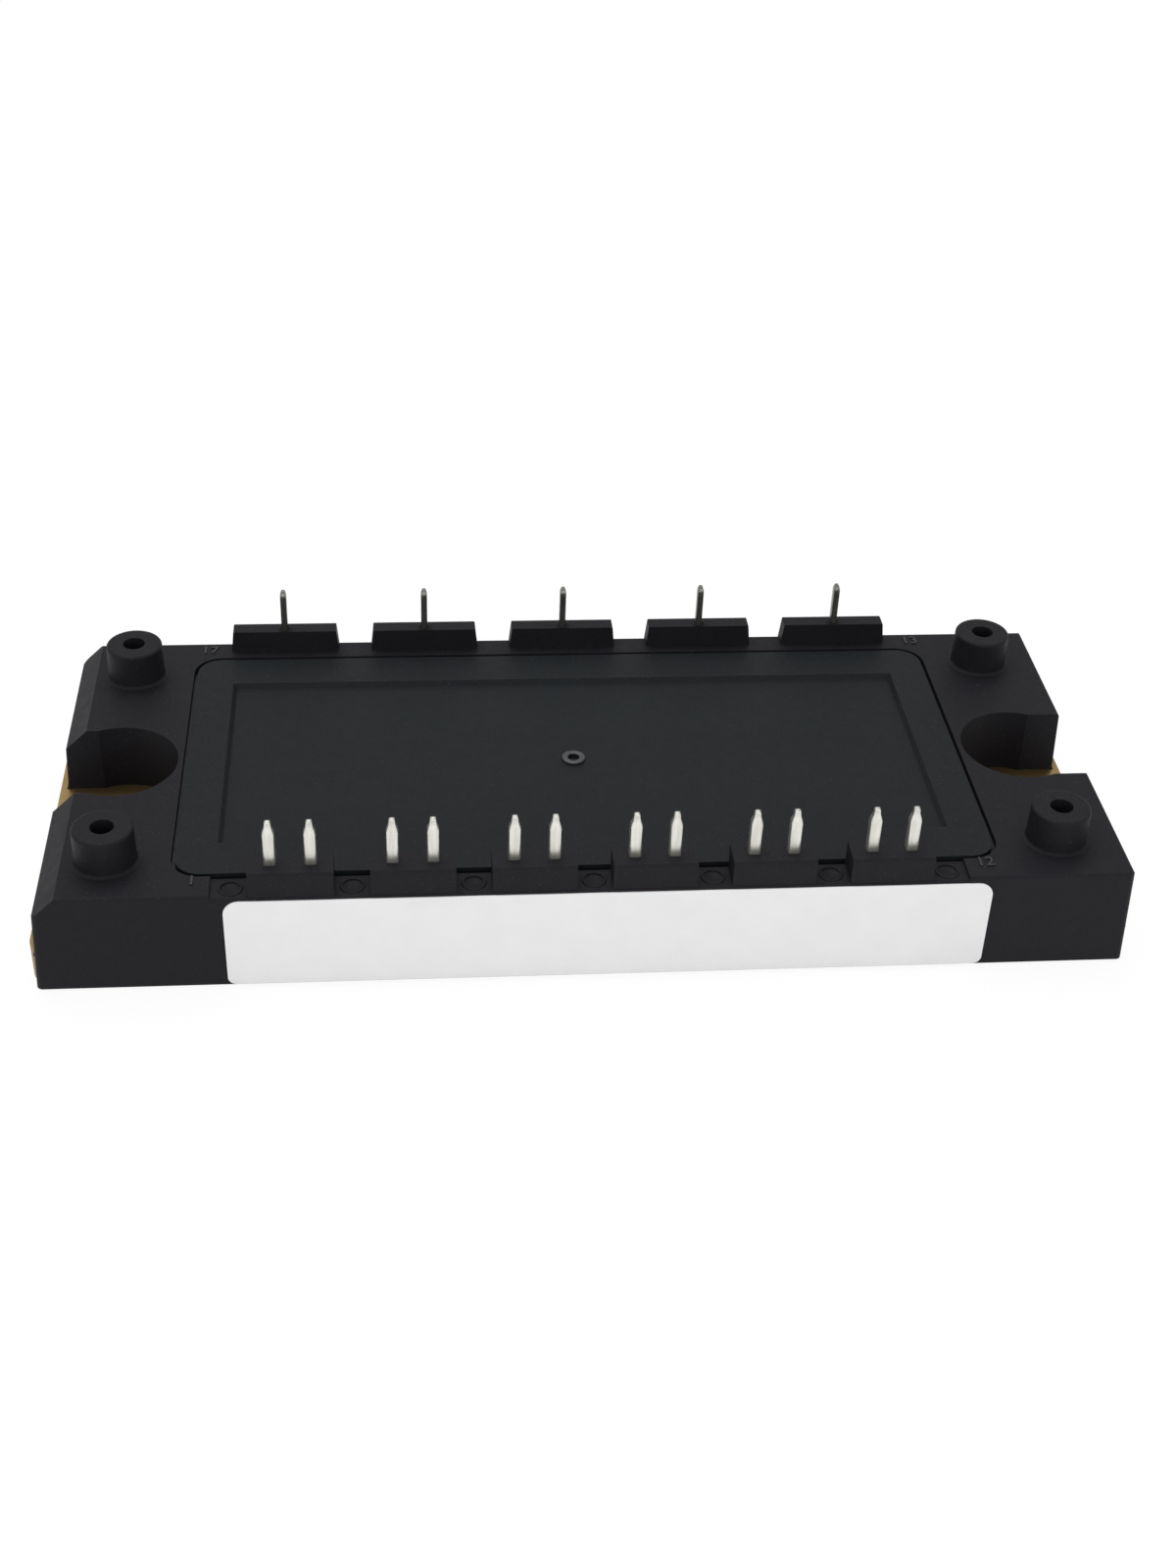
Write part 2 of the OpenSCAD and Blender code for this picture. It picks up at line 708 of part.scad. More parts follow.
// Two wires side by side between the same two places
module twin_wires(a, b, rise) {
    flat = norm([b[0] - a[0], b[1] - a[1]]);
    across = [a[1] - b[1], b[0] - a[0], 0] * twin_offset / flat;
    for (k = [-1, 1]) wire(a + k * across, b + k * across, rise);
}

module bond_wires(phase) {
    color("#c9cacc") phase_wires(phase);
}

// Wires that join the plus and minus strips of neighbouring phases, and feed their two pins
module bus_wires() {
    reach = substrate_pitch / 2 - area_x + edge_landing;
    color("#c9cacc") {
        for (joint = [-0.5, 0.5], y = [plus_wire_y, minus_wire_y])
            twin_wires([joint * substrate_pitch - reach, y, chip_z],
                       [joint * substrate_pitch + reach, y, chip_z], power_rise);
        twin_wires([power_x(2), plus_wire_y, chip_z], [power_x(2), ledge_wire_y, ledge_z], power_rise);
        twin_wires([power_x(4), minus_wire_y, chip_z], [power_x(4), ledge_wire_y, ledge_z], power_rise);
    }
}

// ---------- gel ----------

// Gel that fills the case round the substrates, left open where the wires stand
module gel_fill() {
    skin = 0.4;
    wire_room_z = chip_z + 3;
    wire_room_x = max(substrate_pitch + area_x, control_x(12) + edge_landing);
    color("#c9d4d8") difference() {
        union() {
            slab(2 * well_x, 2 * well_y, well_corner_r, base_thickness, ledge_z);
            slab(2 * room_x, 2 * room_y, room_corner_r, ledge_z, gel_top_z);
        }
        for (phase = phases)
            translate([phase * substrate_pitch, 0, 0])
                box([-substrate_x / 2 - gel_gap, -room_y + skin, base_thickness - cut],
                    [substrate_x / 2 + gel_gap, room_y - skin, wire_room_z]);
        // room for the wires between the phases and on to the pins' feet
        box([-wire_room_x, -room_y + skin, pattern_z], [wire_room_x, room_y - skin, wire_room_z]);
    }
}

// ---------- assembly ----------

base_plate();
base_adhesive();
case_frame();
lid_adhesive();
lid();
front_label();
gel_fill();
for (i = [1 : 12]) control_pin(i);
for (i = [1 : 5]) power_pin(i);
for (p = [1 : 3]) translate([(p - 2) * substrate_pitch, 0, 0]) {
    solder_layer();
    back_copper();
    ceramic();
    copper_pattern();
    switch_chip(-1);
    switch_chip(1);
    diode_chip(-1);
    diode_chip(1);
    bond_wires(p - 2);
}
bus_wires();
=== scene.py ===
"""Looks of a power module: moulded black case and lid, copper base plate, tinned pins, blank label.

Lengths are written in millimetres times MM. The case, lid and label keep their solids and get
materials. The pins are lofted again, and small moulded details stand on the case and the lid.
"""

import json
import math

import bmesh
import bpy
import numpy as np
from mathutils import Euler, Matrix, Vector


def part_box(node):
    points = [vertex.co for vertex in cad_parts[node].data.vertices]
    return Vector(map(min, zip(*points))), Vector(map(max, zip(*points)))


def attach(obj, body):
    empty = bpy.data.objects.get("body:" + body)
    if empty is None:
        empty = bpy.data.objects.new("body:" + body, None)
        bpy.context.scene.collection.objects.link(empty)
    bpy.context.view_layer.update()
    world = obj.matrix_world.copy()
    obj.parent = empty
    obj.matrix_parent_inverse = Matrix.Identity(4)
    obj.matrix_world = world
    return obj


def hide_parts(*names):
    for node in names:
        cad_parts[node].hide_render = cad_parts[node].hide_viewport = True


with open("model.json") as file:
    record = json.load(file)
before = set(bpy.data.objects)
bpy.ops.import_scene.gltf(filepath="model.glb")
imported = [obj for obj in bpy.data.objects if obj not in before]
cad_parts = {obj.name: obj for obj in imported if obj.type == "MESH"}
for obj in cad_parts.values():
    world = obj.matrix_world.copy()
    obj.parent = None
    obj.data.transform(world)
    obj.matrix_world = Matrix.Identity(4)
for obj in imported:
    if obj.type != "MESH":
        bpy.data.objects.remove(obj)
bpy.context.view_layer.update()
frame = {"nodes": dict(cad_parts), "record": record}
nodes = frame["nodes"]
MM = 0.001


# ---------- sizes read from the frame ----------

def limits(name):
    """Lowest and highest corner of a CAD node as two arrays in metres."""
    low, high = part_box(name)
    return np.array(low), np.array(high)


CASE_LOW, CASE_HIGH = limits("case_frame")
LID_LOW, LID_HIGH = limits("lid")
CASE_TOP = LID_HIGH[2]
MOUNTS = {mount["name"]: mount for mount in frame["record"]["mounts"]}
CONTROL_Y = MOUNTS["control_pins"]["pos_m"][1]
POWER_Y = MOUNTS["power_pins"]["pos_m"][1]

# steps of the case above its top face, and the pitch of its blocks and tabs
TAB_TOP = CASE_TOP + 2.4 * MM
BLOCK_TOP = CASE_TOP + 2.33 * MM
SHELF = CASE_TOP - 0.35 * MM
GRID = 3.81 * MM
BLOCK_PITCH = 3 * GRID
TAB_PITCH = 4 * GRID
BLOCK_COUNT = 6
TAB_COUNT = 5
BLOCK_HALF = 4.0 * MM
BLOCK_ROUND = 0.3 * MM
BLOCK_FRONT = CASE_LOW[1] + 0.15 * MM
BLOCK_BACK = LID_LOW[1] - 0.3 * MM


# ---------- materials: a socket with operators, and one method for every other node ----------

class Value:
    """A number that varies over a surface. Operators on it add Math nodes to its material."""

    def __init__(self, finish, socket):
        self.finish = finish
        self.socket = socket

    def math(self, operation, *others):
        """Result of a Math node on this value and the others."""
        return self.finish.node("ShaderNodeMath", {"operation": operation}, self, *others)

    def __add__(self, other):
        return self.math("ADD", other)

    def __radd__(self, other):
        return self.math("ADD", other)

    def __sub__(self, other):
        return self.math("SUBTRACT", other)

    def __rsub__(self, other):
        return Value(self.finish, self.finish.plain(other)).math("SUBTRACT", self)

    def __mul__(self, other):
        return self.math("MULTIPLY", other)

    def __rmul__(self, other):
        return self.math("MULTIPLY", other)

    def clipped(self, low, high, out_low=0.0, out_high=1.0):
        """Straight ramp from out_low at low to out_high at high, flat beyond."""
        return self.finish.node("ShaderNodeMapRange", {"clamp": True}, self, low, high, out_low, out_high)


class Finish:
    """One procedural material. Patterns read Object coordinates, which are metres in the row frame."""

    def __init__(self, name):
        self.material = bpy.data.materials.new(name)
        self.material.use_nodes = True
        self.tree = self.material.node_tree
        self.tree.nodes.clear()
        self.output = self.tree.nodes.new("ShaderNodeOutputMaterial")
        self.place = self.tree.nodes.new("ShaderNodeTexCoord").outputs["Object"]

    def plain(self, number):
        """Output of a Value node that holds a number."""
        holder = self.tree.nodes.new("ShaderNodeValue")
        holder.outputs[0].default_value = number
        return holder.outputs[0]

    def node(self, kind, settings, *inputs, out=0, **named):
        """Adds a node, sets its settings, fills its inputs in order and by name, and returns one output."""
        made = self.tree.nodes.new(kind)
        for key, setting in settings.items():
            setattr(made, key, setting)
        for key, given in [*enumerate(inputs), *named.items()]:
            socket = made.inputs[key]
            given = given.socket if isinstance(given, Value) else given
            if isinstance(given, bpy.types.NodeSocket):
                self.tree.links.new(given, socket)
            elif given is not None:
                socket.default_value = given
        return Value(self, made.outputs[out])

    def stretched(self, scale):
        """Object coordinates scaled per axis."""
        return self.node("ShaderNodeMapping", {}, self.place, Scale=scale)

    def noise(self, scale, detail, rough, where=None):
        """Soft noise with so many features a metre."""
        return self.node("ShaderNodeTexNoise", {}, Vector=where or self.place,
                         Scale=scale, Detail=detail, Roughness=rough)

    def mix(self, amount, colour_a, colour_b):
        """Colour between two colours (linear RGBA or links)."""
        made = self.tree.nodes.new("ShaderNodeMix")
        made.data_type = "RGBA"
        sockets = [s for s in made.inputs if s.enabled]
        for socket, given in zip(sockets, (amount, colour_a, colour_b)):
            given = given.socket if isinstance(given, Value) else given
            if isinstance(given, bpy.types.NodeSocket):
                self.tree.links.new(given, socket)
            else:
                socket.default_value = given
        shown = [s for s in made.outputs if s.enabled][0]
        return Value(self, shown)

    def bump(self, height, distance, normal=None):
        """Normal tilted by a height, which reaches the given distance in metres."""
        made = self.tree.nodes.new("ShaderNodeBump")
        made.inputs["Strength"].default_value = 1.0
        made.inputs["Distance"].default_value = distance
        self.tree.links.new(height.socket, made.inputs["Height"])
        if normal is not None:
            self.tree.links.new(normal.socket, made.inputs["Normal"])
        return Value(self, made.outputs[0])

    def surface(self, base, roughness, normal=None, metallic=0.0, **constants):
        """Principled surface. Varying values come as links, the rest is set on its own socket."""
        shader = self.tree.nodes.new("ShaderNodeBsdfPrincipled")
        varying = {"Base Color": base, "Roughness": roughness, "Metallic": metallic, "Normal": normal}
        for key, given in varying.items():
            given = given.socket if isinstance(given, Value) else given
            if isinstance(given, bpy.types.NodeSocket):
                self.tree.links.new(given, shader.inputs[key])
            elif given is not None:
                shader.inputs[key].default_value = given
        for key, given in constants.items():
            shader.inputs[key.replace("_", " ")].default_value = given
        self.tree.links.new(shader.outputs[0], self.output.inputs["Surface"])
        return self.material


def colour(red, green, blue):
    """Linear RGBA of a colour given as 0-255 display values."""
    def linear(c):
        c /= 255
        return c / 12.92 if c <= 0.04045 else ((c + 0.055) / 1.055) ** 2.4
    return (linear(red), linear(green), linear(blue), 1.0)


def moulded_plastic(name, dark, light, grain, rough_low, rough_high):
    """Glass-filled moulded plastic: fine spark-eroded grain, faint clouds and a few pale fibre flecks."""
    f = Finish(name)
    clouds = f.noise(140, 4, 0.6)
    flecks = f.noise(5200, 1, 0.5).clipped(0.66, 0.76)
    flow = f.noise(40, 3, 0.5, where=f.stretched((0.6, 3.0, 1.0)))
    shade = clouds * 0.6 + flow * 0.4
    tint = f.mix(shade.clipped(0.3, 0.7), dark, light)
    tint = f.mix(flecks * 0.10, tint, colour(120, 122, 128))
    rough = (clouds * 0.5 + f.noise(900, 2, 0.5) * 0.5).clipped(0.3, 0.7, rough_low, rough_high)
    skin = f.noise(3800, 2, 0.55) * 0.7 + f.noise(9000, 1, 0.5) * 0.3
    edge = f.node("ShaderNodeBevel", {"samples": 4}, 0.04 * MM)
    normal = f.bump(skin, grain, normal=edge)
    return f.surface(tint, rough, normal, Specular_IOR_Level=0.13)


def polished_mark_with_painted_highlight(name, dark, light):
    """Plastic where polished steel pressed on it: a low sheen and fine tool marks, and a base colour
    painted lighter than the plastic around it as a painted highlight.
    """
    f = Finish(name)
    cloud = f.noise(900, 3, 0.6)
    fine = f.noise(7000, 2, 0.5)
    tint = f.mix(cloud.clipped(0.3, 0.7), dark, light)
    return f.surface(tint, cloud.clipped(0.3, 0.7, 0.30, 0.42), f.bump(fine, 0.004 * MM),
                     Specular_IOR_Level=0.5)


def bare_copper(name):
    """Rolled copper sheet, a little dulled: long rolling lines and soft brown stains."""
    f = Finish(name)
    stains = f.noise(120, 4, 0.6)
    lines = f.noise(60, 3, 0.6, where=f.stretched((4.0, 160.0, 60.0)))
    tint = f.mix(stains.clipped(0.35, 0.7), colour(174, 148, 100), colour(120, 100, 66))
    tint = f.mix(lines.clipped(0.3, 0.8) * 0.35, tint, colour(196, 170, 118))
    rough = (stains * 0.6 + lines * 0.4).clipped(0.3, 0.75, 0.38, 0.56)
    return f.surface(tint, rough, f.bump(lines, 0.006 * MM), metallic=1.0)


def tinned_metal(name, bright, dull, root, low_z, high_z, tip):
    """Tin plate on a stamped pin: drawn lines along the pin, duller and warmer towards its root, and
    rubbed to another tone at its tip."""
    f = Finish(name)
    drawn = f.noise(300, 3, 0.6, where=f.stretched((9.0, 9.0, 0.7)))
    blotch = f.noise(700, 3, 0.6)
    height = f.node("ShaderNodeSeparateXYZ", {}, f.place, out=2)
    rooted = height.clipped(low_z, high_z, 1.0, 0.0)
    tint = f.mix(drawn.clipped(0.35, 0.7), bright, dull)
    tint = f.mix(rooted * blotch.clipped(0.2, 0.8, 0.35, 0.7), tint, root)
    tint = f.mix(height.clipped(CASE_HIGH[2] + 2.6 * MM, CASE_HIGH[2] + 3.9 * MM), tint, tip)
    rough = (drawn * 0.5 + blotch * 0.5).clipped(0.3, 0.7, 0.24, 0.42)
    return f.surface(tint, rough, f.bump(drawn + blotch * 0.3, 0.005 * MM), metallic=0.9)


def label_film(name):
    """Matt white label film: faint mottle, fine tooth and very slight waves from the wall below."""
    f = Finish(name)
    mottle = f.noise(220, 4, 0.6)
    tooth = f.noise(5200, 2, 0.5)
    wave = f.noise(45, 2, 0.4)
    tint = f.mix(mottle.clipped(0.3, 0.7), colour(242, 242, 243), colour(238, 238, 239))
    normal = f.bump(tooth * 0.3 + wave * 3.0, 0.02 * MM)
    return f.surface(tint, mottle.clipped(0.3, 0.7, 0.52, 0.62), normal, Specular_IOR_Level=0.35)


def cured_adhesive(name):
    """Dark silicone bead with a slightly lumpy skin."""
    f = Finish(name)
    lumps = f.noise(900, 3, 0.6)
    tint = f.mix(lumps.clipped(0.3, 0.7), colour(14, 14, 15), colour(24, 24, 26))
    return f.surface(tint, lumps.clipped(0.3, 0.7, 0.45, 0.65), f.bump(lumps, 0.03 * MM))


def simple_finish(name, tone_a, tone_b, scale, rough_low, rough_high, metallic=0.0, relief=0.01):
    """Finish of a piece inside the case: two tones in soft patches, with a little relief."""
    f = Finish(name)
    patch = f.noise(scale, 3, 0.6)
    tint = f.mix(patch.clipped(0.3, 0.7), tone_a, tone_b)
    rough = patch.clipped(0.3, 0.7, rough_low, rough_high)
    return f.surface(tint, rough, f.bump(patch, relief * MM), metallic=metallic)


FINISHES = {
    "moulded_case": moulded_plastic("moulded_case", colour(26, 25, 29), colour(30, 29, 34),
                                    0.012 * MM, 0.50, 0.62),
    "moulded_lid": moulded_plastic("moulded_lid", colour(23, 26, 29), colour(27, 31, 34),
                                   0.010 * MM, 0.48, 0.60),
    # lid ring: real low sheen from its finish, plus a painted highlight in a base colour lighter than the
    # lid plastic
    "ring_sheen_and_painted_highlight": polished_mark_with_painted_highlight("ring_sheen_and_painted_highlight", colour(52, 53, 56), colour(70, 71, 74)),
    # terminal numbers: real low sheen from their finish, plus a painted highlight in a base colour lighter
    # than the case plastic
    "number_sheen_and_painted_highlight": polished_mark_with_painted_highlight("number_sheen_and_painted_highlight", colour(31, 31, 35), colour(38, 38, 42)),
    "copper_plate": bare_copper("copper_plate"),
    "adhesive": cured_adhesive("adhesive"),
    "blank_label": label_film("blank_label"),
    "control_pin_plating": tinned_metal("control_pin_plating", colour(230, 229, 223), colour(212, 210, 201),
                                        colour(208, 204, 188), CASE_TOP + 2.0 * MM, CASE_TOP + 3.6 * MM,
                                        colour(182, 181, 175)),
    # Painted shade: the power pins carry the same tin plate as the control pins, given much darker tones to
    # stand in for the shade on the back row.
    "power_pin_plating": tinned_metal("power_pin_plating", colour(132, 131, 126), colour(116, 115, 109),
                                      colour(104, 100, 88), CASE_TOP + 2.2 * MM, CASE_TOP + 4.0 * MM,
                                      colour(112, 111, 106)),
    "solder": simple_finish("solder", colour(160, 162, 164), colour(130, 132, 134), 900, 0.35, 0.5, 0.9),
    "bonded_copper": simple_finish("bonded_copper", colour(206, 140, 98), colour(180, 116, 76),
                                   700, 0.3, 0.45, 1.0),
    "ceramic_sheet": simple_finish("ceramic_sheet", colour(238, 234, 226), colour(228, 224, 214),
                                   1200, 0.4, 0.55),
    "chip": simple_finish("chip", colour(116, 118, 126), colour(96, 98, 106), 1500, 0.2, 0.3, 0.6),
    "bond_wire": simple_finish("bond_wire", colour(214, 215, 218), colour(190, 191, 196),
                               3000, 0.25, 0.4, 1.0),
    "silicone_gel": simple_finish("silicone_gel", colour(206, 214, 216), colour(196, 206, 210),
                                  400, 0.1, 0.18),
}
slot_of = {part["node"]: part["material_slot"] for part in frame["record"]["subparts"]}
for name, node in nodes.items():
    node.data.materials.clear()
    node.data.materials.append(FINISHES[slot_of[name]])


# ---------- meshes from arrays ----------

def outward(mesh):
    """Turns every face of a closed mesh outwards."""
    bm = bmesh.new()
    bm.from_mesh(mesh)
    bmesh.ops.recalc_face_normals(bm, faces=bm.faces)
    bm.to_mesh(mesh)
    bm.free()


def piece_of(name, points, faces, finish, smooth):
    """Object at the origin from an array of points and a list of faces, riding on the body."""
    mesh = bpy.data.meshes.new(name)
    mesh.from_pydata(points.tolist(), [], faces)
    outward(mesh)
    mesh.polygons.foreach_set("use_smooth", np.full(len(mesh.polygons), smooth))
    mesh.materials.append(FINISHES[finish])
    piece = bpy.data.objects.new(name, mesh)
    bpy.context.scene.collection.objects.link(piece)
    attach(piece, "root")
    return piece


def closed_tube(name, rings, finish, smooth=True):
    """Mesh from rings of points, an array (levels, points, 3). Neighbouring rings are joined by quads
    and the two end rings are closed with a fan round their middle."""
    levels, count, _ = rings.shape
    points = np.concatenate([rings.reshape(-1, 3), rings[0].mean(0)[None], rings[-1].mean(0)[None]])
    i, j = np.meshgrid(np.arange(levels - 1), np.arange(count), indexing="ij")
    k = (j + 1) % count
    quads = np.stack([i * count + j, i * count + k, (i + 1) * count + k, (i + 1) * count + j], -1)
    around = np.arange(count)
    after = (around + 1) % count
    first, last = len(points) - 2, len(points) - 1
    top = (levels - 1) * count
    caps = [np.stack([np.full(count, first), after, around], 1),
            np.stack([np.full(count, last), top + around, top + after], 1)]
    return piece_of(name, points, quads.reshape(-1, 4).tolist() + np.concatenate(caps).tolist(),
                    finish, smooth)


def turned_ring(name, centre, profile, finish, count=64):
    """Closed ring: a closed profile of (radius, height) pairs, an array, turned once round an upright
    axis through centre. Point (i, j) is centre + (r_j cos t_i, r_j sin t_i, z_j)."""
    turn = np.linspace(0, 2 * np.pi, count, endpoint=False)[:, None]
    r, z = profile[:, 0][None, :], profile[:, 1][None, :]
    points = np.stack([centre[0] + r * np.cos(turn), centre[1] + r * np.sin(turn),
                       centre[2] + z + 0 * turn], -1)
    steps = len(profile)
    i, j = np.meshgrid(np.arange(count), np.arange(steps), indexing="ij")
    k, m = (i + 1) % count, (j + 1) % steps
    faces = np.stack([i * steps + j, k * steps + j, k * steps + m, i * steps + m], -1)
    return piece_of(name, points.reshape(-1, 3), faces.reshape(-1, 4).tolist(), finish, True)


# ---------- pins as surfaces ----------


def stamped_section(half_x, half_t, count=40, square=7.0):
    """Rings of a stamped pin's section: |x/a|^n + |t/b|^n = 1 with n = square, which is a rectangle with
    soft corners. half_x and half_t are arrays with one entry a level; returns x and t arrays."""
    turn = np.linspace(0, 2 * np.pi, count, endpoint=False) + np.pi / count
    c, s = np.cos(turn), np.sin(turn)
    reach = (np.abs(c) ** square + np.abs(s) ** square) ** (-1 / square)
    return half_x[:, None] * (c * reach), half_t[:, None] * (s * reach)


FOOT_THICK = 0.8 * MM
BEND = 0.55 * MM
NARROWING = 0.55 * MM
FOOT_LEVELS, BEND_LEVELS, LEG_LEVELS, NOSE_LEVELS = 5, 9, 38, 28


def terminal_pin(name, leg_y, nose, leg):
    """Stamped and bent pin that stands for a CAD pin, with its leg at leg_y. Its middle line runs along
    the foot, round a quarter circle of radius BEND and up the leg, and a soft-cornered section is
    carried along it, square to the line.
    nose: share of the leg's half width at given depths below the pin's end.
    leg: height up to which the leg keeps the CAD pin's width, and the half width above it, or None."""
    low, high = limits(name)
    x = (low[0] + high[0]) / 2
    half_x = (high[0] - low[0]) / 2
    side = -np.sign(leg_y)
    half_t = min(abs(low[1] - leg_y), abs(high[1] - leg_y))
    foot_y = high[1] if side > 0 else low[1]
    foot_z = low[2] + FOOT_THICK / 2
    top = high[2]
    # the line that the section follows: foot, bend, leg, tip
    flat_y = np.linspace(foot_y, leg_y + side * BEND, FOOT_LEVELS + 1)[:-1]
    turn = np.linspace(0, np.pi / 2, BEND_LEVELS)
    leg_z = np.linspace(foot_z + BEND, top - nose[-1][0], LEG_LEVELS + 2)[1:-1]
    depth = np.geomspace(nose[-1][0], nose[0][0], NOSE_LEVELS)
    upright = LEG_LEVELS + NOSE_LEVELS
    line_y = np.concatenate([flat_y, leg_y + side * BEND * (1 - np.sin(turn)), np.full(upright, leg_y)])
    line_z = np.concatenate([np.full(FOOT_LEVELS, foot_z), foot_z + BEND * (1 - np.cos(turn)),
                             leg_z, top - depth])
    lean = np.concatenate([np.zeros(FOOT_LEVELS), turn, np.full(upright, np.pi / 2)])
    below, share = np.array(nose).T
    taper = np.interp(top - line_z, below, share)
    wide = np.full(len(line_z), half_x)
    if leg is not None:
        rise = np.clip((line_z - leg[0]) / NARROWING, 0, 1)
        wide = half_x + (leg[1] - half_x) * np.sin(rise * np.pi / 2) ** 0.8
    thick = FOOT_THICK / 2 + (half_t - FOOT_THICK / 2) * np.clip(lean / (np.pi / 2), 0, 1)
    sx, st = stamped_section(wide * taper, thick * taper)
    rings = np.empty(sx.shape + (3,))
    rings[..., 0] = x + sx
    rings[..., 1] = line_y[:, None] - side * st * np.sin(lean)[:, None]
    rings[..., 2] = line_z[:, None] - st * np.cos(lean)[:, None]
    piece = closed_tube(name + "_plated", rings, slot_of[name])
    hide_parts(name)


CONTROL_NOSE = [(0.004 * MM, 0.12), (0.03 * MM, 0.30), (0.08 * MM, 0.42), (0.18 * MM, 0.51),
                (0.35 * MM, 0.56), (0.70 * MM, 0.61), (0.95 * MM, 0.76), (1.25 * MM, 0.94),
                (1.45 * MM, 1.0)]
POWER_NOSE = [(0.004 * MM, 0.16), (0.03 * MM, 0.36), (0.10 * MM, 0.54), (0.25 * MM, 0.74),
              (0.50 * MM, 0.94), (0.70 * MM, 1.0)]
POWER_LEG = (TAB_TOP - 0.9 * MM, 0.34 * MM)
for name in nodes:
    if name.startswith("control_pin"):
        terminal_pin(name, CONTROL_Y, CONTROL_NOSE, None)
    elif name.startswith("power_pin"):
        terminal_pin(name, POWER_Y, POWER_NOSE, POWER_LEG)


# ---------- moulded details on the case ----------

def rounded_corner(centre_y, centre_z, radius, first, last, steps=5):
    """Points on a circle from one angle to another, in degrees, as (y, z) rows."""
    turn = np.radians(np.linspace(first, last, steps))
    return np.stack([centre_y + radius * np.cos(turn), centre_z + radius * np.sin(turn)], 1)


def block_cheek(index, x):
    """Closed form over a pin block: the block's upright profile with its round front edge, carried
    along X from one side face to the other, standing SKIN outside the block."""
    front, back, top = BLOCK_FRONT - SKIN, BLOCK_BACK + SKIN, BLOCK_TOP + SKIN
    foot = SHELF - SKIN_DEPTH
    side = np.concatenate([[(back, foot), (back, top)],
                           rounded_corner(front + BLOCK_ROUND, top - BLOCK_ROUND, BLOCK_ROUND, 90, 180),
                           [(front, foot)]])
    half = BLOCK_HALF + SKIN
    rings = np.stack([np.column_stack([np.full(len(side), x + end), side]) for end in (-half, half)])
    closed_tube(f"block_skin_{index}", rings, "moulded_case", smooth=False)


def root_collar(index, x):
    """Low moulded cone that closes the hole round a power pin's narrow leg on top of its tab. Each level
    is the curve |x/a|^5 + |y/b|^5 = 1, drawn in by the amount that COLLAR gives for its height."""
    turn = np.linspace(0, 2 * np.pi, 24, endpoint=False)
    shape = np.stack([np.cos(turn), np.sin(turn)], 1)
    shape = np.sign(shape) * np.abs(shape) ** 0.4
    half_x, half_y = COLLAR_HALF
    rings = np.stack([np.column_stack([x + shape[:, 0] * (half_x - inset),
                                       POWER_Y + shape[:, 1] * (half_y - inset),
                                       np.full(len(turn), TAB_TOP + z)]) for z, inset in COLLAR])
    closed_tube(f"pin_collar_{index}", rings, "moulded_case", smooth=False)


def bead(radius, half_width, half_height):
    """Section of a round bead: ten points on an ellipse round the given radius, as (r, z) rows."""
    turn = np.radians(np.arange(0, 360, 36))
    return np.stack([radius + half_width * np.cos(turn), half_height * np.sin(turn)], 1)


SKIN = 0.015 * MM
SKIN_DEPTH = 0.1 * MM
COLLAR_HALF = (0.78 * MM, 0.52 * MM)
COLLAR = [(-0.3 * MM, 0.0), (0.02 * MM, 0.0), (0.10 * MM, 0.15 * MM), (0.30 * MM, 0.32 * MM),
          (0.42 * MM, 0.42 * MM)]
DISH_Y = (CASE_LOW[1] + BLOCK_BACK) / 2
DISH_BEAD = bead(1.08 * MM, 0.14 * MM, 0.10 * MM)
RING_PLACE = (-0.35 * MM, -0.40 * MM, CASE_TOP - 0.30 * MM)
RING_BEAD = bead(0.90 * MM, 0.31 * MM, 0.07 * MM)

for index in range(BLOCK_COUNT):
    block_cheek(index + 1, (index - (BLOCK_COUNT - 1) / 2) * BLOCK_PITCH)
for index in range(TAB_COUNT):
    root_collar(index + 1, (index - (TAB_COUNT - 1) / 2) * TAB_PITCH)
for index in range(BLOCK_COUNT + 1):
    turned_ring(f"dish_rim_{index + 1}", ((index - BLOCK_COUNT / 2) * BLOCK_PITCH, DISH_Y, SHELF),
                DISH_BEAD, "moulded_case", count=40)
# the lid ring's finish carries a painted highlight: a lighter base colour than the lid around it
turned_ring("lid_ring_mark", RING_PLACE, RING_BEAD, "ring_sheen_and_painted_highlight")


# ---------- moulded terminal numbers ----------

NUMBER_SIZE = 1.9 * MM
NUMBER_RISE = 0.05 * MM


def raised_number(text, x, y):
    """A plain number that stands slightly proud of the case top, readable from the -Y side."""
    curve = bpy.data.curves.new("number", "FONT")
    curve.body = text
    curve.size = NUMBER_SIZE
    curve.align_x = "CENTER"
    curve.align_y = "CENTER"
    curve.extrude = 0.06 * MM
    curve.bevel_depth = 0.02 * MM
    sketch = bpy.data.objects.new("number_sketch", curve)
    bpy.context.scene.collection.objects.link(sketch)
    bpy.context.view_layer.update()
    mesh = bpy.data.meshes.new_from_object(sketch)
    bpy.data.objects.remove(sketch)
    co = np.empty(len(mesh.vertices) * 3, np.float32)
    mesh.vertices.foreach_get("co", co)
    co = co.reshape(-1, 3) + np.array([x, y, CASE_TOP + NUMBER_RISE], np.float32)
    mesh.vertices.foreach_set("co", co.ravel())
    bm = bmesh.new()
    bm.from_mesh(mesh)
    bmesh.ops.remove_doubles(bm, verts=bm.verts, dist=0.001 * MM)
    bm.to_mesh(mesh)
    bm.free()
    outward(mesh)
    mesh.materials.clear()
    # painted highlight: the numbers' finish has a lighter base colour than the case plastic they are
    # moulded in
    mesh.materials.append(FINISHES["number_sheen_and_painted_highlight"])
    piece = bpy.data.objects.new(f"terminal_number_{text}", mesh)
    bpy.context.scene.collection.objects.link(piece)
    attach(piece, "root")


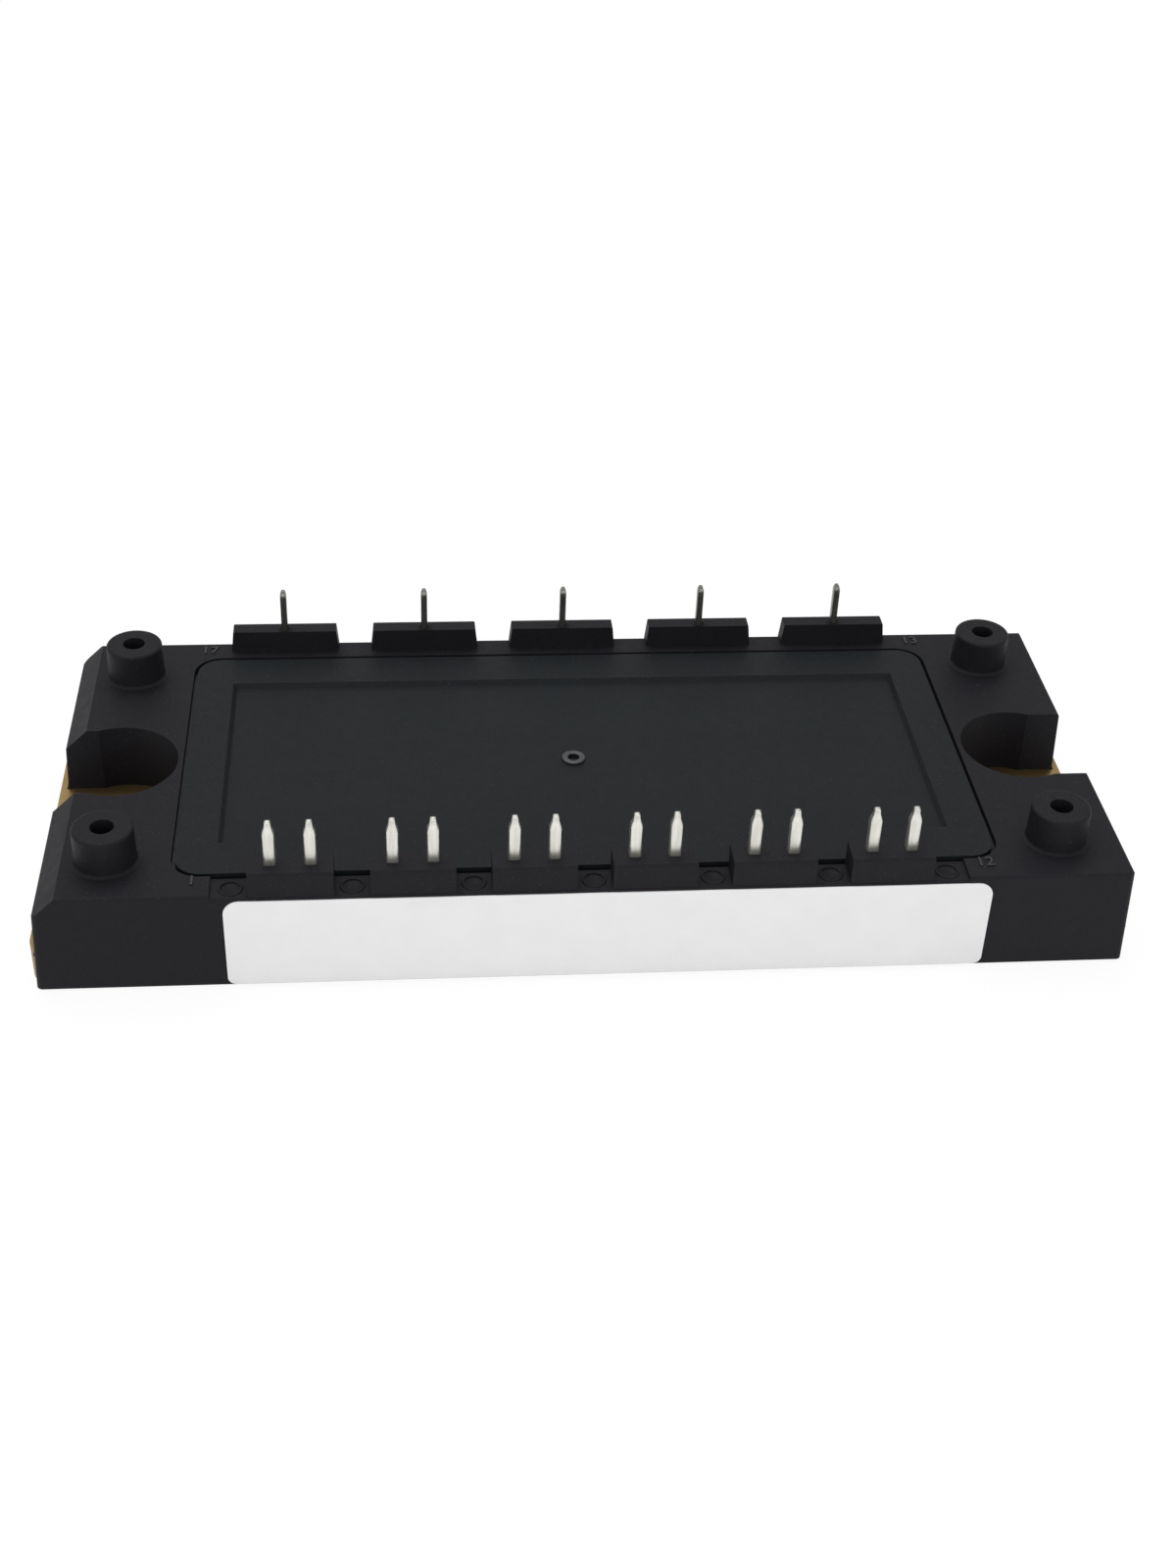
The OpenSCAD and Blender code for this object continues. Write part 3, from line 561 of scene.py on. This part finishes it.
FRONT_NUMBERS_Y = LID_LOW[1] - 1.1 * MM
BACK_NUMBERS_Y = 20.9 * MM
raised_number("1", -37.9 * MM, FRONT_NUMBERS_Y)
raised_number("12", 38.2 * MM, FRONT_NUMBERS_Y)
raised_number("13", 39.4 * MM, BACK_NUMBERS_Y)
raised_number("17", -38.7 * MM, BACK_NUMBERS_Y)


# ---------- floor, light and camera ----------

def floor_finish():
    """Pale floor that is white to the camera and in reflections, and still takes the object's shadow."""
    f = Finish("studio_floor")
    mottle = f.noise(3, 2, 0.5)
    tint = f.mix(mottle.clipped(0.3, 0.7), (0.86, 0.86, 0.86, 1), (0.88, 0.88, 0.88, 1))
    shader = f.tree.nodes.new("ShaderNodeBsdfPrincipled")
    f.tree.links.new(tint.socket, shader.inputs["Base Color"])
    shader.inputs["Roughness"].default_value = 0.9
    glow = f.tree.nodes.new("ShaderNodeEmission")
    glow.inputs["Strength"].default_value = 1.03
    ray = f.tree.nodes.new("ShaderNodeLightPath")
    seen = Value(f, ray.outputs["Is Camera Ray"]).math("MAXIMUM", Value(f, ray.outputs["Is Glossy Ray"]))
    seen = seen.math("MAXIMUM", Value(f, ray.outputs["Is Transmission Ray"])) * 0.9
    blend = f.tree.nodes.new("ShaderNodeMixShader")
    f.tree.links.new(seen.socket, blend.inputs[0])
    f.tree.links.new(shader.outputs[0], blend.inputs[1])
    f.tree.links.new(glow.outputs[0], blend.inputs[2])
    f.tree.links.new(blend.outputs[0], f.output.inputs["Surface"])
    return f.material


def stage_floor():
    """Flat square sheet just under the object, clear of the plate's underside."""
    reach, level = 3.0, -0.05 * MM
    mesh = bpy.data.meshes.new("studio_floor")
    corners = [(x * reach, y * reach, level) for x, y in ((-1, -1), (1, -1), (1, 1), (-1, 1))]
    mesh.from_pydata(corners, [], [(0, 1, 2, 3)])
    mesh.materials.append(floor_finish())
    floor = bpy.data.objects.new("studio_floor", mesh)
    bpy.context.scene.collection.objects.link(floor)


def soft_lamp(name, place, aim, width, depth, power):
    """Rectangular soft light at place (metres), turned to face aim."""
    data = bpy.data.lights.new(name, "AREA")
    data.shape = "RECTANGLE"
    data.size = width
    data.size_y = depth
    data.energy = power
    lamp = bpy.data.objects.new(name, data)
    lamp.location = place
    lamp.rotation_euler = (Vector(aim) - Vector(place)).to_track_quat("-Z", "Y").to_euler()
    bpy.context.scene.collection.objects.link(lamp)


def stage_light():
    centre = (0, 0, 0.01)
    soft_lamp("top_softbox", (-0.12, 0.22, 0.78), centre, 0.6, 0.5, 2.4)
    soft_lamp("front_softbox", (0.0, -0.85, 0.30), centre, 0.8, 0.4, 1.5)
    world = bpy.data.worlds.new("studio")
    world.use_nodes = True
    tree = world.node_tree
    tree.nodes.clear()
    ray = tree.nodes.new("ShaderNodeLightPath")
    lit = tree.nodes.new("ShaderNodeBackground")
    lit.inputs["Strength"].default_value = 0.82
    seen = tree.nodes.new("ShaderNodeBackground")
    seen.inputs["Color"].default_value = (1, 1, 1, 1)
    seen.inputs["Strength"].default_value = 1.03
    blend = tree.nodes.new("ShaderNodeMixShader")
    out = tree.nodes.new("ShaderNodeOutputWorld")
    tree.links.new(ray.outputs["Is Camera Ray"], blend.inputs[0])
    tree.links.new(lit.outputs[0], blend.inputs[1])
    tree.links.new(seen.outputs[0], blend.inputs[2])
    tree.links.new(blend.outputs[0], out.inputs[0])
    bpy.context.scene.world = world


def stage_camera():
    """Camera above the front edge, a little left of the middle, with a moderate lens."""
    data = bpy.data.cameras.new("camera")
    data.lens = 47.82
    data.sensor_width = 36
    data.clip_start = 0.01
    camera = bpy.data.objects.new("camera", data)
    camera.location = (-18.01 * MM, -176.44 * MM, 132.88 * MM)
    camera.rotation_euler = Euler([math.radians(a) for a in (54.632, -2.012, -4.823)])
    bpy.context.scene.collection.objects.link(camera)
    bpy.context.scene.camera = camera


stage_floor()
stage_light()
stage_camera()
bpy.context.scene.view_settings.view_transform = "Standard"
